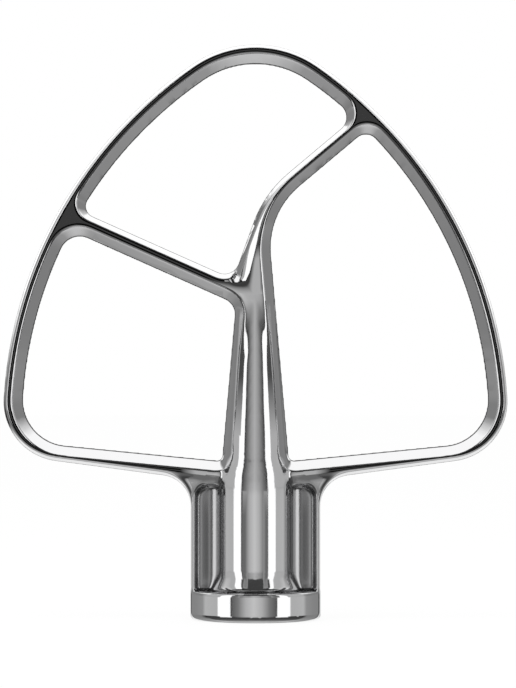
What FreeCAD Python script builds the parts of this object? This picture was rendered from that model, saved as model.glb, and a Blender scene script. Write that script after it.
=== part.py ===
# Stand mixer flat beater: one polished casting that stands on its collar
# Millimetres, +Z up, X across the frame, Y front to back
# The origin is the centre of the collar's bottom face, on the axis of the shaft bore
import FreeCAD, Part
import os
from math import atan2, cos, degrees, hypot, pi, radians, sin, sqrt, tan

import Sketcher

doc = FreeCAD.newDocument("FlatBeater")

# Driving dimensions
sizes = {
    # outer frame, seen from the front
    "beater_height": 154.0,
    "crown_radius": 29.8,
    "crown_half_angle": 34.5,
    "flank_radius": 117.3,
    "heel_radius": 16.1,
    "rim_width": 5.25,
    "inner_heel_radius": 12.3,
    "frame_depth": 10.0,
    # bars at the foot of the frame
    "foot_height": 41.6,
    "foot_slope": 5.6,
    "underside_height": 35.3,
    "underside_slope": 7.6,
    # stem, crossbar and curved bar
    "stem_width": 18.2,
    "stem_lean": 5.0,
    "crossbar_drop": 68.7,
    "crossbar_angle": 24.0,
    "crossbar_width": 5.9,
    "curved_bar_drop": 44.8,
    "curved_bar_angle": 40.0,
    "curved_bar_width": 4.7,
    "curved_bar_foot": 7.0,
    "curved_bar_foot_angle": 70.2,
    "curved_bar_outer_bend": 31.0,
    "curved_bar_inner_bend": 21.6,
    # corners of the three windows
    "crossbar_rim_corner": 3.0,
    "crossbar_stem_corner": 4.0,
    "curved_bar_rim_corner": 4.0,
    "side_window_top_corner": 3.5,
    "lower_window_top_corner": 5.4,
    "lower_window_stem_corner": 4.3,
    "hub_corner": 1.3,
    # how far each wall slopes back from the flat front to the middle of the bar
    "outer_slope": 0.85,
    "underside_draft": 1.2,
    "inner_slope": 2.7,
    "upper_bar_slope": 1.35,
    "lower_bar_slope": 2.45,
    "land_bevel": 0.25,
    # collar, hub tube and tapering spine
    "collar_diameter": 35.0,
    "collar_height": 8.0,
    "collar_bottom_round": 1.4,
    "collar_top_bevel": 0.3,
    "flare_height": 4.3,
    "flare_angle": 23.0,
    "flare_round": 0.5,
    "tube_diameter": 20.4,
    "shoulder_rise": 0.6,
    "shoulder_length": 8.6,
    "spine_diameter": 16.9,
    "spine_taper": 4.4,
    "spine_tip_rise": 15.7,
    "spine_tip_angle": 18.0,
    "spine_tip_blend": 8.0,
    # side webs and their pockets
    "web_width": 34.7,
    "web_depth": 8.8,
    "web_corner": 8.4,
    "web_slope": 0.4,
    "web_grip": 1.9,
    "web_rim": 1.25,
    "pocket_margin": 1.25,
    "pocket_corner": 3.4,
    "pocket_floor": 2.2,
    "pocket_draft": 0.3,
    "pocket_foot": 0.5,
    "pocket_lip": 0.3,
    "web_blend": 4.4,
    "blend_grip": 1.0,
    # shaft bore and pin slot
    "bore_diameter": 13.0,
    "bore_depth": 34.0,
    "bore_lead_in": 0.7,
    "slot_width": 5.6,
    "slot_reach": 8.9,
    "slot_rise": 15.0,
    "slot_turn": 50.0,
    "slot_seat_drop": 1.5,
    "slot_seat_turn": 28.0,
}

sheet = doc.addObject("Spreadsheet::Sheet", "Sizes")
for row, (name, value) in enumerate(sizes.items(), start=1):
    sheet.set("A%d" % row, name)
    sheet.set("B%d" % row, str(value))
    sheet.setAlias("B%d" % row, name)
doc.recompute()


def size(name):
    return float(sheet.get(name))


# Points closer than this lie on each other
touch = 1e-4


# Outlines: a side is a line or an arc that has the material or window on its left
def line(x, z, angle, slope=None):
    """A straight side through (x, z) that runs along angle."""
    return {"at": (x, z), "angle": radians(angle), "slope": slope}


def arc(x, z, radius, text, slope=None):
    """A round side about (x, z); text is its radius written with the sheet's names."""
    return {"centre": (x, z), "radius": radius, "text": text, "slope": slope}


def moved(side, out):
    """The same side moved out by a distance."""
    copy = dict(side)
    if "angle" in side:
        x, z = side["at"]
        copy["at"] = (x + out * sin(side["angle"]), z - out * cos(side["angle"]))
    else:
        copy["radius"] = side["radius"] + out
    return copy


def heading(side, x, z):
    """The direction in which a side runs at a point."""
    if "angle" in side:
        return side["angle"]
    return atan2(z - side["centre"][1], x - side["centre"][0]) + pi / 2


def meeting(first, second):
    """The point where one side gives way to the next."""
    if "angle" in first and "angle" in second:
        (ax, az), (bx, bz) = first["at"], second["at"]
        ux, uz = cos(first["angle"]), sin(first["angle"])
        vx, vz = cos(second["angle"]), sin(second["angle"])
        along = ((bx - ax) * vz - (bz - az) * vx) / (ux * vz - uz * vx)
        return ax + along * ux, az + along * uz
    if "angle" not in first and "angle" not in second:
        (ax, az), (bx, bz) = first["centre"], second["centre"]
        large, other = (first, second) if first["radius"] > second["radius"] else (second, first)
        dx = other["centre"][0] - large["centre"][0]
        dz = other["centre"][1] - large["centre"][1]
        reach = large["radius"] / hypot(dx, dz)
        return large["centre"][0] + reach * dx, large["centre"][1] + reach * dz
    straight, round_side = (first, second) if "angle" in first else (second, first)
    px, pz = straight["at"]
    cx, cz = round_side["centre"]
    ux, uz = cos(straight["angle"]), sin(straight["angle"])
    middle = (cx - px) * ux + (cz - pz) * uz
    across = (cx - px) * uz - (cz - pz) * ux
    half = sqrt(round_side["radius"] ** 2 - across ** 2)
    along = middle + half if straight is first else middle - half
    return px + along * ux, pz + along * uz


def corner(first, second, radius):
    """Start, end and centre of the round between two sides; a tangent pair has none."""
    x, z = meeting(first, second)
    turn = sin(heading(second, x, z) - heading(first, x, z))
    if radius == 0:
        return (x, z), (x, z), None, turn
    inward = -radius if turn > 0 else radius
    cx, cz = meeting(moved(first, inward), moved(second, inward))
    ends = []
    for side in (first, second):
        if "angle" in side:
            px, pz = side["at"]
            ux, uz = cos(side["angle"]), sin(side["angle"])
            along = (cx - px) * ux + (cz - pz) * uz
            ends.append((px + along * ux, pz + along * uz))
        else:
            sx, sz = side["centre"]
            reach = side["radius"] / hypot(cx - sx, cz - sz)
            ends.append((sx + reach * (cx - sx), sz + reach * (cz - sz)))
    return ends[0], ends[1], (cx, cz), turn


def arc_edge(centre, start, end, turns_left):
    """An arc of a circle from start to end, with its two ends in sketch order."""
    a = atan2(start[1] - centre[1], start[0] - centre[0])
    b = atan2(end[1] - centre[1], end[0] - centre[0])
    if not turns_left:
        a, b = b, a
    if b < a:
        b += 2 * pi
    radius = hypot(start[0] - centre[0], start[1] - centre[1])
    circle = Part.Circle(FreeCAD.Vector(centre[0], centre[1], 0), FreeCAD.Vector(0, 0, 1), radius)
    return Part.ArcOfCircle(circle, a, b)


# A share of each wall's slope and a plain step, both as a number and as text
nothing = (0.0, "0")


def growth(slopes, share, step):
    """How far walls of these slopes move out, as a number and as text."""
    names = " + ".join("Sizes." + name for name in slopes)
    value = share[0] * sum(size(name) for name in slopes) / len(slopes) + step[0]
    return value, "(%s * (%s) / %d + %s)" % (share[1], names, len(slopes), step[1])


def draw(sketch, sides, rounds, share=nothing, step=nothing):
    """Draws a closed outline of sides; rounds[i] names the round after side i.

    Every wall that has a slope moves out by a share of it and a step.
    """
    sides = [moved(s, growth([s["slope"]], share, step)[0]) if s["slope"] else s for s in sides]
    bends = []
    for i, side in enumerate(sides):
        following = sides[(i + 1) % len(sides)]
        named = isinstance(rounds[i], str)
        radius = size(rounds[i]) if named else rounds[i] or 0.0
        text = "Sizes.%s" % rounds[i] if named else "%g" % radius
        if rounds[i] and side["slope"] and following["slope"]:
            out, out_text = growth([side["slope"], following["slope"]], share, step)
            x, z = meeting(side, following)
            left = sin(heading(following, x, z) - heading(side, x, z)) > 0
            radius += out if left else -out
            text += " %s %s" % ("+" if left else "-", out_text)
        bends.append(corner(side, following, radius) + (text,))
    geometry = []
    for i, side in enumerate(sides):
        start, end = bends[i - 1][1], bends[i][0]
        if "angle" in side:
            edge = Part.LineSegment(FreeCAD.Vector(start[0], start[1], 0),
                                    FreeCAD.Vector(end[0], end[1], 0))
            text = None
        else:
            edge = arc_edge(side["centre"], start, end, True)
            text = side["text"]
            if side["slope"]:
                text += " + " + growth([side["slope"]], share, step)[1]
        smooth = bends[i][2] is not None or abs(bends[i][3]) < 1e-6
        geometry.append((edge, 1, 2, text, smooth))
        start, end, centre, turn, text = bends[i]
        if centre:
            left = turn > 0
            first, last = (1, 2) if left else (2, 1)
            geometry.append((arc_edge(centre, start, end, left), first, last, text, True))
    for edge, first, last, text, smooth in geometry:
        sketch.addGeometry(edge, False)
    for i, (edge, first, last, text, smooth) in enumerate(geometry):
        following = (i + 1) % len(geometry)
        sketch.addConstraint(Sketcher.Constraint(
            "Tangent" if smooth else "Coincident", i, last, following, geometry[following][1]))
    for i, (edge, first, last, text, smooth) in enumerate(geometry):
        if text:
            place = sketch.addConstraint(Sketcher.Constraint("Radius", i, edge.Radius))
            sketch.setExpression("Constraints[%d]" % place, text)


body = doc.addObject("PartDesign::Body", "flat_beater")
body.Label = "flat_beater"


def origin_plane(role):
    return next(f for f in body.Origin.OriginFeatures if f.Role == role)


def new_sketch(name, role, height=None):
    """A sketch on one of the body's planes, lifted off it by an expression."""
    sketch = body.newObject("Sketcher::SketchObject", name)
    sketch.AttachmentSupport = [(origin_plane(role), "")]
    sketch.MapMode = "FlatFace"
    if height:
        sketch.setExpression("AttachmentOffset.Base.z", height)
    return sketch


# The narrowest flat front is the curved bar's, and the bevels beside it leave it a part
land_bevel = min(size("land_bevel"), 0.3 * (size("curved_bar_width") - size("upper_bar_slope")
                                            - size("lower_bar_slope")))
land_bevel_text = ("min(Sizes.land_bevel; 0.3 * (Sizes.curved_bar_width - Sizes.upper_bar_slope"
                   " - Sizes.lower_bar_slope))")


def stack(name, sides, rounds, places):
    """Sketches of one outline at several heights before the frame's middle plane."""
    sketches = []
    for place, height, share, step in places:
        sketch = new_sketch(name + place, "XZ_Plane", height)
        draw(sketch, sides, rounds, share, step)
        sketches.append(sketch)
    return sketches


def layered(name, sides, rounds, sense, depth="frame_depth"):
    """Sketches of one outline from the back face through the middle plane to the front.

    The walls slope from the middle plane outward, and a bevel joins them to the flat faces.
    """
    sign = "" if sense > 0 else "-"
    share = (sense * size(depth) / size("frame_depth"),
             "%sSizes.%s / Sizes.frame_depth" % (sign, depth))
    bevel = (sense * land_bevel, sign + land_bevel_text)
    face = "Sizes.%s / 2" % depth
    edge = "(%s - %s)" % (face, land_bevel_text)
    places = [("Back", "-" + face, share, bevel), ("BackEdge", "-" + edge, share, nothing),
              ("Middle", None, nothing, nothing),
              ("FrontEdge", edge, share, nothing), ("Front", face, share, bevel)]
    return stack(name, sides, rounds, places)


def loft(kind, name, layers):
    feature = body.newObject("PartDesign::" + kind, name)
    feature.Profile = layers[0]
    feature.Sections = layers[1:]
    feature.Ruled = True
    return feature


# Places that the outlines share
half_crown = radians(size("crown_half_angle"))
crown_z = size("beater_height") - size("crown_radius")
flank_step = size("flank_radius") - size("crown_radius")
flank_x = -flank_step * sin(half_crown)
flank_z = crown_z - flank_step * cos(half_crown)


def frame_arcs(inset, inset_text, slope):
    """Right flank, crown and left flank, moved in from the outer edge."""
    flank = size("flank_radius") - inset
    crown = size("crown_radius") - inset
    return [
        arc(flank_x, flank_z, flank, "Sizes.flank_radius" + inset_text, slope),
        arc(0, crown_z, crown, "Sizes.crown_radius" + inset_text, slope),
        arc(-flank_x, flank_z, flank, "Sizes.flank_radius" + inset_text, slope),
    ]


# Outer frame: a ridge section, widest at its middle and flat in front and behind
under = size("underside_slope")
outer = [line(0, size("underside_height"), under, "underside_draft")]
outer += frame_arcs(0, "", "outer_slope")
outer += [line(0, size("underside_height"), -under, "underside_draft")]
outer_rounds = ["heel_radius", None, None, "heel_radius", None]
frame = loft("AdditiveLoft", "Frame", layered("Outer", outer, outer_rounds, -1.0))
doc.recompute()

# Sides of the windows
rim = frame_arcs(size("rim_width"), " - Sizes.rim_width", "inner_slope")
foot = size("foot_slope")
lean = size("stem_lean")
half_stem = size("stem_width") / 2
right_foot = line(half_stem, size("foot_height") + half_stem * tan(radians(foot)), foot, "inner_slope")
left_foot = line(-half_stem, size("foot_height") + half_stem * tan(radians(foot)), -foot, "inner_slope")
right_stem = line(half_stem, size("foot_height"), 270 + lean, "lower_bar_slope")
left_stem = line(-half_stem, size("foot_height"), 90 - lean, "lower_bar_slope")

cross = size("crossbar_angle")
cross_z = size("beater_height") - size("crossbar_drop")
half_cross = size("crossbar_width") / 2 / cos(radians(cross))
cross_top = line(0, cross_z + half_cross, -cross, "upper_bar_slope")
cross_under = line(0, cross_z - half_cross, 180 - cross, "inner_slope")

bend = size("curved_bar_angle")
curve_z = size("beater_height") - size("curved_bar_drop")
half_curve = size("curved_bar_width") / 2 / cos(radians(bend))
curve_top = line(0, curve_z + half_curve, bend, "upper_bar_slope")
curve_under = line(0, curve_z - half_curve, 180 + bend, "lower_bar_slope")
curve_foot = line(-size("curved_bar_foot"), cross_z + half_cross,
                  size("curved_bar_foot_angle"), "upper_bar_slope")

windows = {
    "TopWindow": (
        [cross_top, curve_foot, curve_top] + rim,
        ["crossbar_stem_corner", "curved_bar_outer_bend", "curved_bar_rim_corner",
         None, None, "crossbar_rim_corner"]),
    "SideWindow": (
        [right_foot, rim[0], curve_under, right_stem],
        ["inner_heel_radius", "side_window_top_corner", "curved_bar_inner_bend", "hub_corner"]),
    "LowerWindow": (
        [left_foot, left_stem, cross_under, rim[2]],
        ["hub_corner", "lower_window_stem_corner", "lower_window_top_corner",
         "inner_heel_radius"]),
}
for name, (sides, rounds) in windows.items():
    before = body.Shape.Volume
    loft("SubtractiveLoft", name, layered(name, sides, rounds, 1.0))
    doc.recompute()
    if body.Shape.Volume >= before:
        raise RuntimeError(name + " cuts nothing")


# Side webs from the collar up to the bars, with a wide round under each bar
half_web = size("web_width") / 2
web_end = half_web + size("web_corner") + size("web_grip")
web_top = size("underside_height") + size("web_grip")
web_sides = [
    line(0, size("collar_height") / 2, 0),
    line(half_web, 0, 90, "web_slope"),
    line(0, size("underside_height"), under, "underside_draft"),
    line(web_end, 0, 90),
    line(0, web_top, 180 + under),
    line(0, web_top, 180 - under),
    line(-web_end, 0, 270),
    line(0, size("underside_height"), -under, "underside_draft"),
    line(-half_web, 0, 270, "web_slope"),
]
web_rounds = [None, "web_corner", None, None, None, None, None, "web_corner", None]
loft("AdditiveLoft", "Webs", layered("Web", web_sides, web_rounds, -1.0, "web_depth"))
doc.recompute()

# A shallow pocket in each face of the webs; the hub tube then fills its middle
half_pocket = half_web - size("web_rim")
pocket_top = size("underside_height") + half_pocket * tan(radians(under)) - size("pocket_margin")
pocket_top_text = ("Sizes.underside_height - Sizes.pocket_margin"
                   " + (Sizes.web_width / 2 - Sizes.web_rim) * tan(Sizes.underside_slope)")
pocket_sides = [
    line(0, size("collar_height") / 2, 0),
    line(half_pocket, 0, 90, "pocket_draft"),
    line(0, pocket_top, 180, "pocket_draft"),
    line(-half_pocket, 0, 270, "pocket_draft"),
]
pocket_rounds = [None, "pocket_corner", "pocket_corner", None]
draft = (-1.0, "-1")
foot_step = (-size("pocket_foot"), "-Sizes.pocket_foot")
lip_step = (size("pocket_lip"), "Sizes.pocket_lip")
pocket_layers = stack("Pocket", pocket_sides, pocket_rounds, [
    ("Floor", "Sizes.pocket_floor", draft, foot_step),
    ("Foot", "Sizes.pocket_floor + Sizes.pocket_foot", draft, nothing),
    ("Edge", "Sizes.web_depth / 2 - Sizes.pocket_lip", nothing, nothing),
    ("Face", "Sizes.web_depth / 2", nothing, lip_step)])
before = body.Shape.Volume
pocket = loft("SubtractiveLoft", "FrontPocket", pocket_layers)
doc.recompute()
if body.Shape.Volume >= before:
    raise RuntimeError("the pocket cuts nothing")
mirrored = body.newObject("PartDesign::Mirrored", "BackPocket")
mirrored.Originals = [pocket]
mirrored.MirrorPlane = (origin_plane("XZ_Plane"), [""])
body.Tip = mirrored
doc.recompute()

# Collar, hub tube and the spine that tapers up the stem, turned about the bore's axis
collar = size("collar_diameter") / 2
tube = size("tube_diameter") / 2
spine = size("spine_diameter") / 2
shoulder_z = size("foot_height") + size("shoulder_rise")
shoulder_step = tube - spine
shoulder_angle = 2 * atan2(shoulder_step, size("shoulder_length"))
shoulder_blend = 0.45 * size("shoulder_length") / sin(shoulder_angle)
flare_top = size("collar_height") + size("flare_height")
turned = [
    line(0, 0, 0),
    line(collar, 0, 90),
    line(collar, size("collar_height") - size("collar_top_bevel"), 135),
    line(0, size("collar_height"), 180),
    line(tube, flare_top, 90 + size("flare_angle")),
    line(tube, 0, 90),
    line(tube - shoulder_step / 2, shoulder_z, 90 + degrees(shoulder_angle)),
    line(spine, shoulder_z, 90 + size("spine_taper")),
    line(0, cross_z + size("spine_tip_rise"), 90 + size("spine_tip_angle")),
    line(0, 0, 270),
]
turned_rounds = ["collar_bottom_round", None, None, "flare_round", "flare_round",
                 shoulder_blend, shoulder_blend, "spine_tip_blend", None, None]
turned_sketch = new_sketch("TurnedProfile", "XZ_Plane")
draw(turned_sketch, turned, turned_rounds)
hub = body.newObject("PartDesign::Revolution", "Hub")
hub.Profile = turned_sketch
hub.ReferenceAxis = (turned_sketch, ["V_Axis"])
hub.Angle = 360
doc.recompute()

# Concave blends that carry the hub tube into the pocket floors
blend_x = sqrt((tube + size("web_blend")) ** 2 - (size("pocket_floor") + size("web_blend")) ** 2)
blend_y = size("pocket_floor") + size("web_blend")
grip = tube / (tube + size("web_blend"))
blend_sketch = new_sketch("BlendSection", "XY_Plane", "Sizes.collar_height / 2")
quarters = [(1, -1), (1, 1), (-1, 1), (-1, -1)]
edges = []
for i, (sx, sy) in enumerate(quarters):
    centre = (sx * blend_x, sy * blend_y)
    on_floor = (sx * blend_x, sy * size("pocket_floor"))
    on_tube = (grip * centre[0], grip * centre[1])
    start, end = (on_tube, on_floor) if i % 2 == 0 else (on_floor, on_tube)
    edges.append((arc_edge(centre, start, end, False), start, end))
for i, (edge, start, end) in enumerate(edges):
    blend_sketch.addGeometry(edge, False)
    following = edges[(i + 1) % 4][1]
    blend_sketch.addGeometry(Part.LineSegment(FreeCAD.Vector(end[0], end[1], 0),
                                              FreeCAD.Vector(following[0], following[1], 0)), False)
for i in range(4):
    blend_sketch.addConstraint(Sketcher.Constraint("Coincident", 2 * i, 1, 2 * i + 1, 1))
    blend_sketch.addConstraint(Sketcher.Constraint("Coincident", 2 * i + 1, 2, (2 * i + 2) % 8, 2))
    place = blend_sketch.addConstraint(Sketcher.Constraint("Radius", 2 * i, size("web_blend")))
    blend_sketch.setExpression("Constraints[%d]" % place, "Sizes.web_blend")
blends = body.newObject("PartDesign::Pad", "WebBlends")
blends.Profile = blend_sketch
blends.setExpression("Length", pocket_top_text + " + Sizes.blend_grip - Sizes.collar_height / 2")
doc.recompute()


def cut(kind, name, sketch, settings):
    """A pocket or groove that has to take material away."""
    before = body.Shape.Volume
    feature = body.newObject("PartDesign::" + kind, name)
    feature.Profile = sketch
    for prop, value in settings.items():
        if isinstance(value, str):
            feature.setExpression(prop, value)
        else:
            setattr(feature, prop, value)
    doc.recompute()
    if body.Shape.Volume >= before:
        raise RuntimeError(name + " cuts nothing")
    return feature


# Blind shaft bore, with a lead-in at its mouth
bore_sketch = new_sketch("BoreOutline", "XY_Plane")
bore_sketch.addGeometry(Part.Circle(FreeCAD.Vector(0, 0, 0), FreeCAD.Vector(0, 0, 1),
                                    size("bore_diameter") / 2), False)
bore_sketch.addConstraint(Sketcher.Constraint("Coincident", 0, 3, -1, 1))
place = bore_sketch.addConstraint(Sketcher.Constraint("Diameter", 0, size("bore_diameter")))
bore_sketch.setExpression("Constraints[%d]" % place, "Sizes.bore_diameter")
cut("Pocket", "ShaftBore", bore_sketch, {"Reversed": True, "Length": "Sizes.bore_depth"})

bore = size("bore_diameter") / 2
mouth = ["Edge%d" % i for i, edge in enumerate(body.Shape.Edges, start=1)
         if isinstance(edge.Curve, Part.Circle) and edge.BoundBox.ZMax < touch
         and abs(edge.Curve.Radius - bore) < touch]
carrier = body.Tip
lead_in = body.newObject("PartDesign::Chamfer", "BoreLeadIn")
lead_in.Base = (carrier, mouth)
lead_in.setExpression("Size", "Sizes.bore_lead_in")
body.Tip = lead_in
doc.recompute()

# Pin slot: straight in, round by a part turn, then back down into a seat
half_slot = size("slot_width") / 2
entry_sketch = new_sketch("SlotEntry", "XY_Plane")
draw(entry_sketch, [line(0, 0, 0), line(half_slot, 0, 90),
                    arc(0, 0, size("slot_reach"), "Sizes.slot_reach"), line(-half_slot, 0, 270)],
     [None, None, None, None])
cut("Pocket", "SlotEntryCut", entry_sketch, {"Reversed": True, "Length": "Sizes.slot_rise"})


def swept_slot(name, bottom, start, turn):
    """A slot that turns about the bore's axis from the angle start, through turn."""
    sketch = new_sketch(name + "Outline", "YZ_Plane")
    sketch.AttachmentOffset = FreeCAD.Placement(
        FreeCAD.Vector(), FreeCAD.Rotation(FreeCAD.Vector(0, 1, 0), 0))
    if start:
        sketch.setExpression("AttachmentOffset.Rotation.Angle", start)
    low = size("slot_rise") - size("slot_width") - bottom
    draw(sketch, [line(0, low, 0), line(size("slot_reach"), 0, 90),
                  line(0, size("slot_rise"), 180), line(bore / 2, 0, 270)],
         [None, None, None, None])
    cut("Groove", name, sketch, {"ReferenceAxis": (sketch, ["V_Axis"]), "Angle": turn})


swept_slot("SlotTurn", 0, None, "Sizes.slot_turn")
swept_slot("SlotSeat", size("slot_seat_drop"), "Sizes.slot_turn - Sizes.slot_seat_turn",
           "Sizes.slot_seat_turn")

failed = [item.Name for item in doc.Objects if "Invalid" in item.State or "Error" in item.State]
if failed:
    raise RuntimeError("not built: " + ", ".join(failed))
if body.Shape.isNull() or not body.Shape.isValid() or len(body.Shape.Solids) != 1:
    raise RuntimeError("flat_beater is not one sound solid")
os.makedirs("parts", exist_ok=True)
body.Shape.exportStep("parts/%s.step" % body.Label)
box = body.Shape.BoundBox
print("flat_beater %.1f x %.1f x %.1f mm, %.0f cubic mm"
      % (box.XLength, box.YLength, box.ZLength, body.Shape.Volume))
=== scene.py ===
import math

import bmesh
import bpy
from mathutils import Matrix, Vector
from mathutils.kdtree import KDTree


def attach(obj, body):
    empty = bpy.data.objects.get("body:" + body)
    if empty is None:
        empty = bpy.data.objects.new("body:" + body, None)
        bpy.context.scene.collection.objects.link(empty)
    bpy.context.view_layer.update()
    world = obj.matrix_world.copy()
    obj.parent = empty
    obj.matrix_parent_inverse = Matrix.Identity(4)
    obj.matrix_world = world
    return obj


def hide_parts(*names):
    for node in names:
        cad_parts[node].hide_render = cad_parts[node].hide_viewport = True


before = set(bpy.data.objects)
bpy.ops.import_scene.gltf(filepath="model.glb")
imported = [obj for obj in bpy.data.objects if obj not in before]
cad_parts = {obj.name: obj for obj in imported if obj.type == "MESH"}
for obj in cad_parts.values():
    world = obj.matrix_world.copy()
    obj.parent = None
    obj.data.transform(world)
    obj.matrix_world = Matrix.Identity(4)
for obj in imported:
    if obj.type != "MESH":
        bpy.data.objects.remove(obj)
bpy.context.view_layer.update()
scene = bpy.context.scene
scene.view_settings.view_transform = "Standard"
millimetre = 0.001


# Small helpers
def newObject(name, bm):
    mesh = bpy.data.meshes.new(name)
    bm.to_mesh(mesh)
    bm.free()
    piece = bpy.data.objects.new(name, mesh)
    scene.collection.objects.link(piece)
    return piece


def link(nodes, source, target):
    nodes.id_data.links.new(source, target)


def newMaterial(name):
    material = bpy.data.materials.new(name)
    material.use_nodes = True
    material.node_tree.nodes.clear()
    return material


def newGroup(name, inputs, outputs):
    group = bpy.data.node_groups.new(name, "ShaderNodeTree")
    for label, kind, value in inputs:
        socket = group.interface.new_socket(label, in_out="INPUT", socket_type=kind)
        if value is not None:
            socket.default_value = value
    for label, kind in outputs:
        group.interface.new_socket(label, in_out="OUTPUT", socket_type=kind)
    entry = group.nodes.new("NodeGroupInput")
    leave = group.nodes.new("NodeGroupOutput")
    return group, entry, leave


def placeGroup(nodes, group):
    node = nodes.new("ShaderNodeGroup")
    node.node_tree = group
    return node


def mathNode(nodes, operation, first, second=None):
    node = nodes.new("ShaderNodeMath")
    node.operation = operation
    for i, value in enumerate((first, second)):
        if value is None:
            continue
        if isinstance(value, (int, float)):
            node.inputs[i].default_value = value
        else:
            link(nodes, value, node.inputs[i])
    return node.outputs[0]


def mixNode(nodes, factor, first, second, kind="FLOAT"):
    # first where the factor is 0, second where it is 1
    node = nodes.new("ShaderNodeMix")
    node.data_type = kind
    link(nodes, factor, node.inputs["Factor"])
    for label, value in (("A", first), ("B", second)):
        if isinstance(value, bpy.types.NodeSocket):
            link(nodes, value, node.inputs[label])
        else:
            node.inputs[label].default_value = value
    return node.outputs["Result"]


def rampNode(nodes, value, stops):
    # stops are (place, level), from the lowest place to the highest
    low, high = stops[0][0], stops[-1][0]
    spread = nodes.new("ShaderNodeMapRange")
    spread.inputs["From Min"].default_value = low
    spread.inputs["From Max"].default_value = high
    link(nodes, value, spread.inputs["Value"])
    ramp = nodes.new("ShaderNodeValToRGB")
    points = ramp.color_ramp.elements
    while len(points) < len(stops):
        points.new(0.5)
    for point, (place, level) in zip(points, stops):
        point.position = (place - low) / (high - low)
        point.color = (level, level, level, 1.0)
    link(nodes, spread.outputs[0], ramp.inputs["Fac"])
    return ramp.outputs["Color"]


def objectParts(nodes):
    # the object's own X, Y and Z
    coords = nodes.new("ShaderNodeTexCoord")
    parts = nodes.new("ShaderNodeSeparateXYZ")
    link(nodes, coords.outputs["Object"], parts.inputs[0])
    return parts.outputs


# Effects that the finishes share, painted shade in the pockets and a painted dark reflection line among them
def buildPolishMarks():
    # fine lines left by the polishing belt, as a height and as a spread of roughness
    group, entry, leave = newGroup(
        "polishMarks",
        [("Vector", "NodeSocketVector", None), ("Scale", "NodeSocketFloat", 900.0),
         ("Stretch", "NodeSocketFloat", 0.06), ("Patch Scale", "NodeSocketFloat", 60.0)],
        [("Height", "NodeSocketFloat"), ("Streaks", "NodeSocketFloat")])
    nodes = group.nodes
    squeeze = nodes.new("ShaderNodeCombineXYZ")
    squeeze.inputs["X"].default_value = 1.0
    squeeze.inputs["Y"].default_value = 1.0
    link(nodes, entry.outputs["Stretch"], squeeze.inputs["Z"])
    stretched = nodes.new("ShaderNodeVectorMath")
    stretched.operation = "MULTIPLY"
    link(nodes, entry.outputs["Vector"], stretched.inputs[0])
    link(nodes, squeeze.outputs[0], stretched.inputs[1])
    fine = nodes.new("ShaderNodeTexNoise")
    fine.inputs["Detail"].default_value = 3.0
    link(nodes, stretched.outputs[0], fine.inputs["Vector"])
    link(nodes, entry.outputs["Scale"], fine.inputs["Scale"])
    link(nodes, fine.outputs["Fac"], leave.inputs["Height"])
    patches = nodes.new("ShaderNodeTexNoise")
    link(nodes, entry.outputs["Patch Scale"], patches.inputs["Scale"])
    patches.inputs["Detail"].default_value = 2.0
    link(nodes, stretched.outputs[0], patches.inputs["Vector"])
    link(nodes, mathNode(nodes, "MULTIPLY", patches.outputs["Fac"], fine.outputs["Fac"]),
         leave.inputs["Streaks"])
    return group


def buildHandWaves():
    # the slow waves that hand polishing leaves on a casting, as a height
    group, entry, leave = newGroup(
        "handWaves",
        [("Vector", "NodeSocketVector", None), ("Scale", "NodeSocketFloat", 60.0)],
        [("Height", "NodeSocketFloat")])
    nodes = group.nodes
    wave = nodes.new("ShaderNodeTexNoise")
    wave.inputs["Detail"].default_value = 1.0
    link(nodes, entry.outputs["Vector"], wave.inputs["Vector"])
    link(nodes, entry.outputs["Scale"], wave.inputs["Scale"])
    link(nodes, wave.outputs["Fac"], leave.inputs["Height"])
    return group


def buildPocketShadeMask():
    # 1 in the pockets of the webs, where painted shade darkens the colour and the roughness is raised
    group, entry, leave = newGroup(
        "pocketShadeMask",
        [("Vector", "NodeSocketVector", None), ("Half Depth", "NodeSocketFloat", 0.0039),
         ("Inner Edge", "NodeSocketFloat", 0.0105), ("Softness", "NodeSocketFloat", 0.0012),
         ("Outer Edge", "NodeSocketFloat", 0.0161), ("Top", "NodeSocketFloat", 0.0355),
         ("Foot", "NodeSocketFloat", 0.008)],
        [("Mask", "NodeSocketFloat")])
    nodes = group.nodes
    parts = nodes.new("ShaderNodeSeparateXYZ")
    link(nodes, entry.outputs["Vector"], parts.inputs[0])
    side = mathNode(nodes, "ABSOLUTE", parts.outputs["X"])
    deep = mathNode(nodes, "ABSOLUTE", parts.outputs["Y"])
    mask = mathNode(nodes, "LESS_THAN", deep, entry.outputs["Half Depth"])
    outside = nodes.new("ShaderNodeMapRange")
    outside.interpolation_type = "SMOOTHSTEP"
    link(nodes, side, outside.inputs["Value"])
    start = mathNode(nodes, "SUBTRACT", entry.outputs["Inner Edge"], entry.outputs["Softness"])
    link(nodes, start, outside.inputs["From Min"])
    link(nodes, entry.outputs["Inner Edge"], outside.inputs["From Max"])
    mask = mathNode(nodes, "MULTIPLY", mask, outside.outputs[0])
    limits = [("LESS_THAN", side, "Outer Edge"), ("LESS_THAN", parts.outputs["Z"], "Top"),
              ("GREATER_THAN", parts.outputs["Z"], "Foot")]
    for operation, value, limit in limits:
        inside = mathNode(nodes, operation, value, entry.outputs[limit])
        mask = mathNode(nodes, "MULTIPLY", mask, inside)
    link(nodes, mask, leave.inputs["Mask"])
    return group


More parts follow.
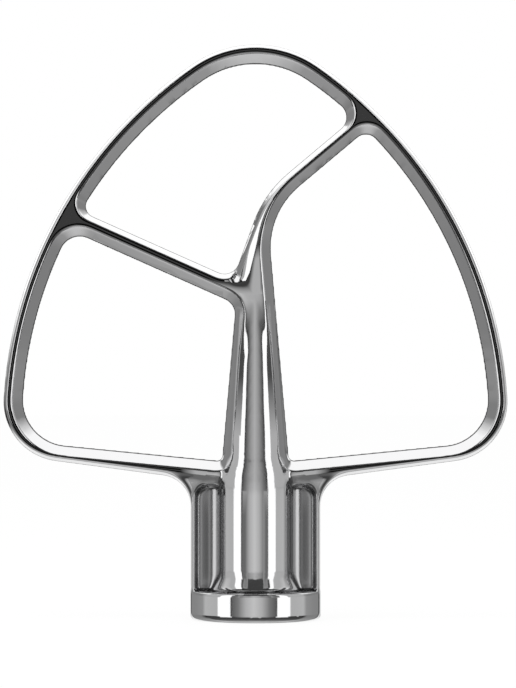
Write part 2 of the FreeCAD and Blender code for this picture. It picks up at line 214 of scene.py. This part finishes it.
def buildPaintedRidgeLine():
    # 1 along the ridge in the middle of the casting, as wide on every slope: the mask of a painted dark
    # reflection line
    group, entry, leave = newGroup(
        "paintedRidgeLine",
        [("Vector", "NodeSocketVector", None), ("Normal", "NodeSocketVector", None),
         ("Across", "NodeSocketFloat", 0.00036), ("Deepest", "NodeSocketFloat", 0.00066),
         ("Solid Share", "NodeSocketFloat", 0.75), ("Foot", "NodeSocketFloat", 0.0090)],
        [("Mask", "NodeSocketFloat")])
    nodes = group.nodes
    parts = nodes.new("ShaderNodeSeparateXYZ")
    link(nodes, entry.outputs["Vector"], parts.inputs[0])
    facing = nodes.new("ShaderNodeSeparateXYZ")
    link(nodes, entry.outputs["Normal"], facing.inputs[0])
    deep = mathNode(nodes, "ABSOLUTE", parts.outputs["Y"])
    sine = mathNode(nodes, "ABSOLUTE", facing.outputs["Y"])
    # a little over 1, so that the root never reaches 0
    overOne = 1.0001
    square = mathNode(nodes, "MULTIPLY", sine, sine)
    cosine = mathNode(nodes, "SQRT", mathNode(nodes, "SUBTRACT", overOne, square))
    across = mathNode(nodes, "MULTIPLY", deep, mathNode(nodes, "DIVIDE", sine, cosine))
    share = mathNode(nodes, "MAXIMUM",
                     mathNode(nodes, "DIVIDE", across, entry.outputs["Across"]),
                     mathNode(nodes, "DIVIDE", deep, entry.outputs["Deepest"]))
    band = nodes.new("ShaderNodeMapRange")
    band.interpolation_type = "SMOOTHSTEP"
    link(nodes, entry.outputs["Solid Share"], band.inputs["From Min"])
    band.inputs["From Max"].default_value = 1.0
    band.inputs["To Min"].default_value = 1.0
    band.inputs["To Max"].default_value = 0.0
    link(nodes, share, band.inputs["Value"])
    above = mathNode(nodes, "GREATER_THAN", parts.outputs["Z"], entry.outputs["Foot"])
    link(nodes, mathNode(nodes, "MULTIPLY", band.outputs[0], above), leave.inputs["Mask"])
    return group


polishMarks = buildPolishMarks()
paintedRidgeLine = buildPaintedRidgeLine()
handWaves = buildHandWaves()
pocketShadeMask = buildPocketShadeMask()

steel = {
    "colour": (0.66, 0.66, 0.665, 1.0),
    # painted shade: the pockets of the webs get a darker steel colour
    "paintedPocketShade": (0.42, 0.42, 0.425, 1.0),
    # painted reflection: a near-black, rough, not metallic line along the ridge, where the outline turns away
    "paintedRidgeColour": (0.035, 0.035, 0.035, 1.0),
    "ridgeLineRoughness": 0.7,
    "roughness": 0.045,
    "recessRoughness": 0.16,
    "streakRoughness": 0.10,
    "waveHeight": 0.00003,
    "markHeight": 0.0000006,
}


def polishedSteel():
    material = newMaterial("polishedSteel")
    nodes = material.node_tree.nodes
    coords = nodes.new("ShaderNodeTexCoord")
    marks = placeGroup(nodes, polishMarks)
    waves = placeGroup(nodes, handWaves)
    pocketShade = placeGroup(nodes, pocketShadeMask)
    for group in (marks, waves, pocketShade):
        link(nodes, coords.outputs["Object"], group.inputs["Vector"])
    ridgeLine = placeGroup(nodes, paintedRidgeLine)
    link(nodes, coords.outputs["Object"], ridgeLine.inputs["Vector"])
    link(nodes, coords.outputs["Normal"], ridgeLine.inputs["Normal"])
    # painted shade: the colour is darker in the pockets of the webs
    colour = mixNode(nodes, pocketShade.outputs["Mask"], steel["colour"], steel["paintedPocketShade"], "RGBA")
    # painted reflection: a near-black line along the ridge
    colour = mixNode(nodes, ridgeLine.outputs["Mask"], colour, steel["paintedRidgeColour"], "RGBA")
    streaks = mathNode(nodes, "MULTIPLY", marks.outputs["Streaks"], steel["streakRoughness"])
    dull = mathNode(nodes, "MULTIPLY", pocketShade.outputs["Mask"],
                    steel["recessRoughness"] - steel["roughness"])
    ridgeLineRough = mathNode(nodes, "MULTIPLY", ridgeLine.outputs["Mask"],
                    steel["ridgeLineRoughness"] - steel["roughness"])
    dull = mathNode(nodes, "ADD", dull, ridgeLineRough)
    roughness = mathNode(nodes, "ADD", mathNode(nodes, "ADD", streaks, dull), steel["roughness"])
    slow = nodes.new("ShaderNodeBump")
    slow.inputs["Distance"].default_value = steel["waveHeight"]
    link(nodes, waves.outputs["Height"], slow.inputs["Height"])
    fine = nodes.new("ShaderNodeBump")
    fine.inputs["Distance"].default_value = steel["markHeight"]
    link(nodes, marks.outputs["Height"], fine.inputs["Height"])
    link(nodes, slow.outputs["Normal"], fine.inputs["Normal"])
    shader = nodes.new("ShaderNodeBsdfPrincipled")
    # metal everywhere but on the painted dark reflection line
    metalShare = mathNode(nodes, "SUBTRACT", 1.0, ridgeLine.outputs["Mask"])
    link(nodes, metalShare, shader.inputs["Metallic"])
    link(nodes, colour, shader.inputs["Base Color"])
    link(nodes, roughness, shader.inputs["Roughness"])
    link(nodes, fine.outputs["Normal"], shader.inputs["Normal"])
    output = nodes.new("ShaderNodeOutputMaterial")
    link(nodes, shader.outputs[0], output.inputs["Surface"])
    return material


# The casting
casting = {
    "mergeDistance": 0.002 * millimetre,
    "faceDepth": 5.0 * millimetre,
    "skinCell": 0.29 * millimetre,
    "facesKept": 0.27,
    "softenFactor": 0.5,
    "edgeSteps": 45,
    "hubSteps": 4,
    "hubTop": (40, 48),
    "ridgeKept": (0.35, 0.75),
    # the round shoulder between tube and spine: between these heights, outside this depth
    "shoulderSteps": 300,
    "shoulderHeight": (33, 38, 50, 56),
    "shoulderDepth": (5.2, 6.0),
    # the facet ground beside the tip of the spine: its line, its slant, and where it ends
    "facetFoot": (-1.65, 90.4),
    "facetTop": (3.9, 111.9),
    "facetSlant": 26,
    "facetWidth": 2.4,
    "facetFall": 60,
    "facetReach": 4.4,
    # it ends above the upper edge of the crossbar, given as a place and an angle
    "crossbarEdge": (-5.8, 90.35, -24),
    "facetEnd": (0.2, 1.2),
    # turned surfaces, which are shaded as true rounds: radius, foot and top
    "roundParts": [(17.5, 1.6, 7.6), (10.2, 13.4, 36.8)],
    "roundPlay": 0.06,
}


def easeBetween(value, low, high):
    share = min(max((value - low) / (high - low), 0.0), 1.0)
    return share * share * (3 - 2 * share)


def hubWeight(place):
    low, high = casting["hubTop"]
    return 1 - easeBetween(place.z / millimetre, low, high)


def edgeWeight(place):
    # the ridge in the middle of the bars stays crisp
    return easeBetween(abs(place.y) / millimetre, *casting["ridgeKept"])


def shoulderWeight(place):
    foot, low, high, top = casting["shoulderHeight"]
    z = place.z / millimetre
    inside = easeBetween(z, foot, low) - easeBetween(z, high, top)
    return inside * easeBetween(abs(place.y) / millimetre, *casting["shoulderDepth"])


def facetSide(x, z):
    # how far a place lies to the left of the facet's line
    footX, footZ = casting["facetFoot"]
    topX, topZ = casting["facetTop"]
    length = math.hypot(topX - footX, topZ - footZ)
    return ((z - footZ) * (topX - footX) - (x - footX) * (topZ - footZ)) / length


def overCrossbar(x, z):
    # how far a place lies above the upper edge of the crossbar's flat face
    edgeX, edgeZ, angle = casting["crossbarEdge"]
    return z - edgeZ - (x - edgeX) * math.tan(math.radians(angle))


def trueNormal(place, normal):
    x, y, z = (value / millimetre for value in place)
    reach = math.hypot(x, y)
    for radius, foot, top in casting["roundParts"]:
        if abs(reach - radius) < casting["roundPlay"] and foot < z < top:
            return Vector((x / reach, y / reach, 0))
    return normal.copy()


def grindFacet(mesh):
    # both faces are ground down to a slanting plane beside the spine
    depth = casting["faceDepth"] / millimetre
    fall = math.tan(math.radians(casting["facetSlant"]))
    steep = math.tan(math.radians(casting["facetFall"]))
    for vert in mesh.vertices:
        x, y, z = (value / millimetre for value in vert.co)
        aside = facetSide(x, z)
        if not 0 < aside < casting["facetReach"] or z > casting["facetTop"][1]:
            continue
        beyond = max(aside - casting["facetWidth"], 0)
        drop = fall * (aside - beyond) + steep * beyond
        limit = depth - drop * easeBetween(overCrossbar(x, z), *casting["facetEnd"])
        if abs(y) > limit:
            vert.co.y = math.copysign(limit, y) * millimetre


def bakedMesh(piece):
    found = piece.evaluated_get(bpy.context.evaluated_depsgraph_get())
    return bpy.data.meshes.new_from_object(found)


def removePiece(piece):
    mesh = piece.data
    bpy.data.objects.remove(piece)
    bpy.data.meshes.remove(mesh)


def addSmoothing(piece, name, steps, weightOf):
    # weights in tenths, so that a group takes few calls
    group = piece.vertex_groups.new(name=name)
    tenths = {}
    for vert in piece.data.vertices:
        tenths.setdefault(round(10 * weightOf(vert.co)), []).append(vert.index)
    for share, indexes in tenths.items():
        if share:
            group.add(indexes, share / 10, "REPLACE")
    smooth = piece.modifiers.new(name, "SMOOTH")
    smooth.factor = casting["softenFactor"]
    smooth.iterations = steps
    smooth.vertex_group = name


def buildSkin(node):
    # an even skin of small quads over the merged copy
    bm = bmesh.new()
    bm.from_mesh(node.data)
    bmesh.ops.remove_doubles(bm, verts=bm.verts, dist=casting["mergeDistance"])
    copy = newObject("mergedCopy", bm)
    remesh = copy.modifiers.new("skin", "REMESH")
    remesh.mode = "VOXEL"
    remesh.voxel_size = casting["skinCell"]
    skin = bpy.data.objects.new("fullSkin", bakedMesh(copy))
    scene.collection.objects.link(skin)
    removePiece(copy)
    return skin


def buildCasting():
    skin = buildSkin(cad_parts["flat_beater"])
    grindFacet(skin.data)
    addSmoothing(skin, "edges", casting["edgeSteps"], edgeWeight)
    addSmoothing(skin, "hub", casting["hubSteps"], hubWeight)
    addSmoothing(skin, "shoulder", casting["shoulderSteps"], shoulderWeight)
    full = bakedMesh(skin)
    lookup = KDTree(len(full.vertices))
    for vert in full.vertices:
        lookup.insert(vert.co, vert.index)
    lookup.balance()
    # fewer faces where the skin is flat, shaded as the full skin is
    thin = skin.modifiers.new("thin", "DECIMATE")
    thin.ratio = casting["facesKept"]
    mesh = bakedMesh(skin)
    mesh.name = "beaterCasting"
    nearest = [full.vertices[lookup.find(vert.co)[1]] for vert in mesh.vertices]
    normals = [trueNormal(vert.co, close.normal) for vert, close in zip(mesh.vertices, nearest)]
    mesh.polygons.foreach_set("use_smooth", [True] * len(mesh.polygons))
    mesh.normals_split_custom_set_from_vertices(normals)
    removePiece(skin)
    bpy.data.meshes.remove(full)
    piece = bpy.data.objects.new("beaterCasting", mesh)
    scene.collection.objects.link(piece)
    mesh.materials.clear()
    mesh.materials.append(polishedSteel())
    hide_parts("flat_beater")
    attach(piece, "root")
    return piece


beater = buildCasting()
print("casting built:", len(beater.data.vertices), "vertices", len(beater.data.polygons), "faces")

# The studio: a white floor, a light tent, and dark cards before the flat faces
def reflectedOnly(piece):
    # a piece of the studio that only shows in the metal
    piece.visible_camera = False
    piece.visible_diffuse = False
    piece.visible_shadow = False
    piece.visible_transmission = False


# levels by degrees: to either side of the front from 0 to 180, and up from -90 to 90
tent = {
    "radius": 0.95,
    "height": 0.074,
    # the soft boxes stand a little to the left
    "shift": 3.0,
    # what the tube of the hub shows, and what the bars show
    "tubeLevels": [
        (0, 0.80), (14, 0.62), (27, 0.28), (38, 0.16), (40.6, 0.03), (41.2, 0.03), (41.8, 1.55),
        (66.0, 1.55), (67.2, 0.62), (96, 0.66), (104, 0.40), (124, 0.34), (150, 0.30), (153, 0.04),
        (158, 0.04), (161, 0.8), (180, 0.8)],
    "barLevels": [
        (0, 0.62), (14, 0.44), (27, 0.22), (35, 0.10), (38.2, 0.02), (38.8, 0.02), (39.6, 1.55),
        (62, 1.55), (63.5, 0.05), (98, 0.05), (108, 0.30), (140, 0.30), (146, 0.25),
        (150, 0.17), (154, 0.17), (156, 0.45), (168, 0.5), (170, 0.03), (180, 0.03)],
    "barShare": [(-90, 1.0), (-12, 1.0), (-9, 0.0), (-4.8, 0.0), (2.4, 1.0), (90, 1.0)],
    # the lens is seen lower towards the sides, by this much a degree
    "lean": 0.07,
    # patches of cloth, each laid over the ones before it
    "patches": [
        # gray cloth on both sides
        {"level": 0.6, "along": "shifted", "height": "rise",
         "alongShare": [(0, 0.0), (62, 0.0), (63.5, 1.0), (98, 1.0), (108, 0.0), (180, 0.0)],
         "heightShare": [(-90, 0.0), (-4, 0.0), (-2, 1.0), (90, 1.0)]},
        # white above the sides
        {"level": 1.4, "along": "around", "height": "rise",
         "alongShare": [(0, 0.0), (80, 0.0), (110, 1.0), (180, 1.0)],
         "heightShare": [(-90, 0.0), (18, 0.0), (40, 1.0), (90, 1.0)]},
        # white behind the object
        {"level": 1.4, "along": "around", "height": "rise",
         "alongShare": [(0, 0.0), (153, 0.0), (156.5, 1.0), (180, 1.0)],
         "heightShare": [(-90, 0.0), (1, 0.0), (6, 1.0), (90, 1.0)]},
        # white roof
        {"level": 1.4, "along": "around", "height": "rise",
         "alongShare": [(0, 1.0), (180, 1.0)],
         "heightShare": [(-90, 0.0), (46, 0.0), (52, 1.0), (90, 1.0)]},
        # black above the front
        {"level": 0.02, "along": "around", "height": "rise",
         "alongShare": [(0, 1.0), (93, 1.0), (97, 0.0), (180, 0.0)],
         "heightShare": [(-90, 0.0), (47, 0.0), (50, 1.0), (90, 1.0)]},
        # dark lens
        {"level": 0.07, "along": "around", "height": "leaning",
         "alongShare": [(0, 1.0), (45, 1.0), (46.5, 0.0), (180, 0.0)],
         "heightShare": [(-90, 0.0), (34.8, 0.0), (36.4, 1.0), (90, 1.0)]},
        # gray floor, lighter straight below
        {"along": "around", "height": "rise",
         "level": [(-90, 0.78), (-62, 0.76), (-47, 0.42), (-30, 0.38), (90, 0.38)],
         "alongShare": [(0, 1.0), (180, 1.0)],
         "heightShare": [(-90, 1.0), (-38, 1.0), (-20, 0.0), (90, 0.0)]},
        # dark floor before the object
        {"along": "around", "height": "rise",
         "level": [(-90, 0.75), (-82, 0.66), (-72, 0.42), (-60, 0.30), (-48, 0.16), (-32, 0.07),
                   (90, 0.07)],
         "alongShare": [(0, 1.0), (93, 1.0), (97, 0.0), (180, 0.0)],
         "heightShare": [(-90, 1.0), (-22, 1.0), (-14, 0.0), (90, 0.0)]},
        # white floor far behind the object
        {"level": 1.05, "along": "around", "height": "rise",
         "alongShare": [(0, 0.0), (153, 0.0), (156.5, 1.0), (180, 1.0)],
         "heightShare": [(-90, 0.0), (-36, 0.0), (-31, 1.0), (-16, 1.0), (-8, 0.0), (90, 0.0)]},
    ],
}


def tentCloth():
    # white soft boxes, gray cloth and dark gaps by direction from the object
    material = newMaterial("tentCloth")
    nodes = material.node_tree.nodes
    parts = objectParts(nodes)
    forward = mathNode(nodes, "MULTIPLY", parts["Y"], -1.0)
    azimuth = mathNode(nodes, "DEGREES", mathNode(nodes, "ARCTAN2", parts["X"], forward))
    around = mathNode(nodes, "ABSOLUTE", azimuth)
    shifted = mathNode(nodes, "ABSOLUTE", mathNode(nodes, "ADD", azimuth, tent["shift"]))
    height = mathNode(nodes, "DIVIDE", parts["Z"], tent["radius"])
    rise = mathNode(nodes, "DEGREES", mathNode(nodes, "ARCSINE", height))
    leaning = mathNode(nodes, "ADD", rise, mathNode(nodes, "MULTIPLY", around, tent["lean"]))
    angles = {"around": around, "shifted": shifted, "rise": rise, "leaning": leaning}
    level = mixNode(nodes, rampNode(nodes, rise, tent["barShare"]),
                    rampNode(nodes, shifted, tent["tubeLevels"]), rampNode(nodes, shifted, tent["barLevels"]))
    for patch in tent["patches"]:
        alongShare = rampNode(nodes, angles[patch["along"]], patch["alongShare"])
        heightShare = rampNode(nodes, angles[patch["height"]], patch["heightShare"])
        cloth = patch["level"]
        if isinstance(cloth, list):
            cloth = rampNode(nodes, rise, cloth)
        level = mixNode(nodes, mathNode(nodes, "MULTIPLY", alongShare, heightShare), level, cloth)
    glow = nodes.new("ShaderNodeEmission")
    link(nodes, level, glow.inputs["Strength"])
    output = nodes.new("ShaderNodeOutputMaterial")
    link(nodes, glow.outputs[0], output.inputs["Surface"])
    return material


def buildTent():
    bm = bmesh.new()
    bmesh.ops.create_uvsphere(bm, u_segments=96, v_segments=48, radius=tent["radius"])
    bmesh.ops.reverse_faces(bm, faces=bm.faces)
    piece = newObject("lightTent", bm)
    piece.location.z = tent["height"]
    piece.data.materials.append(tentCloth())
    reflectedOnly(piece)


eye = {"place": (0.00067, -1.05, 0.0738), "frameHeight": 0.1844, "sensor": 24.0, "nearest": 0.01}

landCard = {
    "distance": 0.002,
    "reach": 0.0048,
    "level": 0.06,
    "hemLevel": 0.002,
    "lightLevel": 0.6,
    # the faces it covers look this straight to the front and lie in one plane
    "straightness": 0.999,
    "planePlay": 1e-5,
    "cutPlay": 1e-7,
    # half the width and the top of the gap for the round spine
    "spineGap": (0.0145, 0.0872),
    # lighter beside the tip of the spine, and on both sides of the spine below it
    "tipAcross": [(-0.03, 0.0), (-0.0028, 0.0), (-0.0008, 1.0), (0.0014, 1.0), (0.0024, 0.0), (0.03, 0.0)],
    "tipHeight": [(0.0, 1.0), (0.0967, 1.0), (0.1005, 0.0), (0.16, 0.0)],
    "stemAcross": [(0.0, 1.0), (0.016, 1.0), (0.020, 0.0), (0.03, 0.0)],
    "stemHeight": [(0.0, 1.0), (0.0874, 1.0), (0.0902, 0.0), (0.16, 0.0)],
    # the hem is wide where an edge looks up, or out of the frame, and narrow elsewhere
    "wideHem": 0.0026,
    "narrowHem": 0.0014,
    "outsideFrom": 0.035,
    "upwardFrom": 0.2,
    # no hem beside the facet (left, low, high) and over the tip (half width, top)
    "facetGap": (-0.0085, 0.0912, 0.1135),
    "tipGap": (0.004, 0.0975),
}


def cardCloth(name, reach, levelOf):
    # cloth that shows only in metal closer to the card than its reach
    material = newMaterial(name)
    nodes = material.node_tree.nodes
    glow = nodes.new("ShaderNodeEmission")
    link(nodes, levelOf(nodes, objectParts(nodes)), glow.inputs["Strength"])
    path = nodes.new("ShaderNodeLightPath")
    clear = nodes.new("ShaderNodeBsdfTransparent")
    blend = nodes.new("ShaderNodeMixShader")
    far = mathNode(nodes, "GREATER_THAN", path.outputs["Ray Length"], reach)
    link(nodes, far, blend.inputs["Fac"])
    link(nodes, glow.outputs[0], blend.inputs[1])
    link(nodes, clear.outputs[0], blend.inputs[2])
    output = nodes.new("ShaderNodeOutputMaterial")
    link(nodes, blend.outputs[0], output.inputs["Surface"])
    return material


def landCloth(name, darkest):
    def levelOf(nodes, parts):
        tip = mathNode(nodes, "MULTIPLY", rampNode(nodes, parts["X"], landCard["tipAcross"]),
                       rampNode(nodes, parts["Z"], landCard["tipHeight"]))
        side = mathNode(nodes, "ABSOLUTE", parts["X"])
        stem = mathNode(nodes, "MULTIPLY", rampNode(nodes, parts["Z"], landCard["stemHeight"]),
                        rampNode(nodes, side, landCard["stemAcross"]))
        light = mathNode(nodes, "MAXIMUM", tip, stem)
        return mixNode(nodes, light, darkest, landCard["lightLevel"])
    return cardCloth(name, landCard["reach"], levelOf)


def cutAcross(bm, point, normal):
    bmesh.ops.bisect_plane(bm, geom=bm.verts[:] + bm.edges[:] + bm.faces[:],
                           dist=landCard["cutPlay"], plane_co=point, plane_no=normal)


def hemWidth(place, normal):
    outside = abs(place.x) > landCard["outsideFrom"] and normal.x * place.x > 0
    upward = normal.z > landCard["upwardFrom"]
    return landCard["wideHem"] if outside or upward else landCard["narrowHem"]


def addHem(bm):
    # a hem of the second cloth round a flat card
    out = {}
    rim = [edge for edge in bm.edges if len(edge.link_faces) == 1]
    for edge in rim:
        along = edge.verts[1].co - edge.verts[0].co
        normal = Vector((along.z, 0, -along.x)).normalized()
        middle = (edge.verts[0].co + edge.verts[1].co) / 2
        if normal.dot(middle - edge.link_faces[0].calc_center_median()) < 0:
            normal = -normal
        for vert in edge.verts:
            place = tuple(vert.co)
            out[place] = out.get(place, Vector()) + normal
    grown = bmesh.ops.extrude_edge_only(bm, edges=rim)["geom"]
    for item in grown:
        if isinstance(item, bmesh.types.BMVert):
            normal = out.get(tuple(item.co), Vector())
            if normal.length > 0.1:
                normal.normalize()
                item.co += normal * hemWidth(item.co, normal)
        elif isinstance(item, bmesh.types.BMFace):
            item.material_index = 1
    left, low, high = landCard["facetGap"]
    tipSide, tipTop = landCard["tipGap"]
    spare = []
    for face in bm.faces:
        centre = face.calc_center_median()
        inside = left < centre.x and low < centre.z < high
        besideFacet = inside and facetSide(centre.x / millimetre, centre.z / millimetre) > 0
        overTip = abs(centre.x) < tipSide and centre.z < tipTop
        if face.material_index == 1 and (besideFacet or overTip):
            spare.append(face)
    bmesh.ops.delete(bm, geom=spare, context="FACES")


def buildLandCard(node):
    # a dark card close before the flat faces of the bars, with a gap for the round spine
    bm = bmesh.new()
    bm.from_mesh(node.data)
    bmesh.ops.remove_doubles(bm, verts=bm.verts, dist=casting["mergeDistance"])
    spare = []
    for face in bm.faces:
        behind = abs(face.calc_center_median().y + casting["faceDepth"])
        if face.normal.y > -landCard["straightness"] or behind > landCard["planePlay"]:
            spare.append(face)
    bmesh.ops.delete(bm, geom=spare, context="FACES")
    side, top = landCard["spineGap"]
    cutAcross(bm, (side, 0, 0), (1, 0, 0))
    cutAcross(bm, (-side, 0, 0), (1, 0, 0))
    cutAcross(bm, (0, 0, top), (0, 0, 1))
    centres = [(face, face.calc_center_median()) for face in bm.faces]
    spare = [face for face, centre in centres if abs(centre.x) < side and centre.z < top]
    bmesh.ops.delete(bm, geom=spare, context="FACES")
    eyeX, eyeY, eyeZ = eye["place"]
    spread = 1 - landCard["distance"] / eyeY
    for vert in bm.verts:
        vert.co.x = eyeX + (vert.co.x - eyeX) * spread
        vert.co.z = eyeZ + (vert.co.z - eyeZ) * spread
        vert.co.y -= landCard["distance"]
    for face in bm.faces:
        face.material_index = 0
    addHem(bm)
    card = newObject("landFlag", bm)
    card.data.materials.append(landCloth("darkCloth", landCard["level"]))
    card.data.materials.append(landCloth("hemCloth", landCard["hemLevel"]))
    reflectedOnly(card)


def addCardPair(name, cloth, place, along, up):
    # a flat card on the right of the hub and its mirror image on the left
    for side, label in ((-1, "Left"), (1, "Right")):
        bm = bmesh.new()
        bmesh.ops.create_grid(bm, x_segments=1, y_segments=1, size=0.5)
        for vert in bm.verts:
            corner = Vector(place) + Vector(along) * vert.co.x + Vector(up) * vert.co.y
            vert.co = (side * corner.x, corner.y, corner.z)
        card = newObject(name + label, bm)
        card.data.materials.append(cloth)
        reflectedOnly(card)


stemCard = {
    "place": (0.009, -0.0074, 0.068),
    "depth": 0.0044,
    "height": 0.036,
    "reach": 0.008,
    # the lower end fades into the tent
    "levels": [(0.0, 0.6), (0.050, 0.6), (0.066, 0.09), (0.16, 0.09)],
}


def buildStemCards():
    def levelOf(nodes, parts):
        return rampNode(nodes, parts["Z"], stemCard["levels"])
    cloth = cardCloth("stemCloth", stemCard["reach"], levelOf)
    addCardPair("stemFlag", cloth, stemCard["place"], (0, stemCard["depth"], 0), (0, 0, stemCard["height"]))


pocketCard = {
    "place": (0.0155, -0.030, 0.0215),
    "width": 0.009,
    "height": 0.027,
    "reach": 0.045,
    "level": 0.20,
    # lighter towards the hub and towards the upper end
    "lightLevel": 0.42,
    "lightAcross": [(0.0, 1.0), (0.0110, 1.0), (0.0150, 0.0), (0.03, 0.0)],
    "lightHeight": [(0.0, 0.0), (0.027, 0.0), (0.034, 1.0), (0.05, 1.0)],
}


def buildPocketCards():
    def levelOf(nodes, parts):
        inner = rampNode(nodes, mathNode(nodes, "ABSOLUTE", parts["X"]), pocketCard["lightAcross"])
        upper = rampNode(nodes, parts["Z"], pocketCard["lightHeight"])
        light = mathNode(nodes, "MAXIMUM", inner, upper)
        return mixNode(nodes, light, pocketCard["level"], pocketCard["lightLevel"])
    cloth = cardCloth("grayCloth", pocketCard["reach"], levelOf)
    addCardPair("pocketFlag", cloth, pocketCard["place"], (pocketCard["width"], 0, 0),
                (0, 0, pocketCard["height"]))


ground = {"size": 6.0, "colour": (0.9, 0.9, 0.9, 1.0), "glow": 0.93}


def buildFloor():
    # white to the eye, and matt where the shadow falls
    bm = bmesh.new()
    bmesh.ops.create_grid(bm, x_segments=1, y_segments=1, size=ground["size"] / 2)
    floor = newObject("floor", bm)
    material = newMaterial("whiteFloor")
    nodes = material.node_tree.nodes
    matt = nodes.new("ShaderNodeBsdfDiffuse")
    matt.inputs["Color"].default_value = ground["colour"]
    glow = nodes.new("ShaderNodeEmission")
    path = nodes.new("ShaderNodeLightPath")
    seen = mathNode(nodes, "MAXIMUM", path.outputs["Is Camera Ray"], path.outputs["Is Glossy Ray"])
    seen = mathNode(nodes, "MAXIMUM", seen, path.outputs["Is Transmission Ray"])
    blend = nodes.new("ShaderNodeMixShader")
    link(nodes, mathNode(nodes, "MULTIPLY", seen, ground["glow"]), blend.inputs["Fac"])
    link(nodes, matt.outputs[0], blend.inputs[1])
    link(nodes, glow.outputs[0], blend.inputs[2])
    output = nodes.new("ShaderNodeOutputMaterial")
    link(nodes, blend.outputs[0], output.inputs["Surface"])
    floor.data.materials.append(material)
    floor.visible_glossy = False


softBox = {"size": 0.5, "energy": 2.2, "place": (-0.15, -0.25, 0.8), "turn": (17, -10, 0)}


def buildLights():
    world = bpy.data.worlds.new("studioWorld")
    world.use_nodes = True
    nodes = world.node_tree.nodes
    nodes.clear()
    background = nodes.new("ShaderNodeBackground")
    background.inputs["Color"].default_value = (1.0, 1.0, 1.0, 1.0)
    background.inputs["Strength"].default_value = 1.0
    output = nodes.new("ShaderNodeOutputWorld")
    link(nodes, background.outputs[0], output.inputs["Surface"])
    scene.world = world
    lamp = bpy.data.lights.new("topSoftBox", "AREA")
    lamp.shape = "DISK"
    lamp.size = softBox["size"]
    lamp.energy = softBox["energy"]
    top = bpy.data.objects.new("topSoftBox", lamp)
    top.location = softBox["place"]
    top.rotation_euler = [math.radians(angle) for angle in softBox["turn"]]
    top.visible_glossy = False
    scene.collection.objects.link(top)


def buildEye():
    camera = bpy.data.cameras.new("eye")
    camera.sensor_fit = "VERTICAL"
    camera.sensor_height = eye["sensor"]
    camera.lens = -eye["place"][1] * eye["sensor"] / eye["frameHeight"]
    camera.clip_start = eye["nearest"]
    seat = bpy.data.objects.new("eye", camera)
    seat.location = eye["place"]
    seat.rotation_euler = (math.radians(90), 0, 0)
    scene.collection.objects.link(seat)
    scene.camera = seat


buildTent()
print("tent built")
buildLandCard(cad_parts["flat_beater"])
buildStemCards()
buildPocketCards()
print("cards built")
buildFloor()
buildLights()
buildEye()
print("floor, lights and eye built")
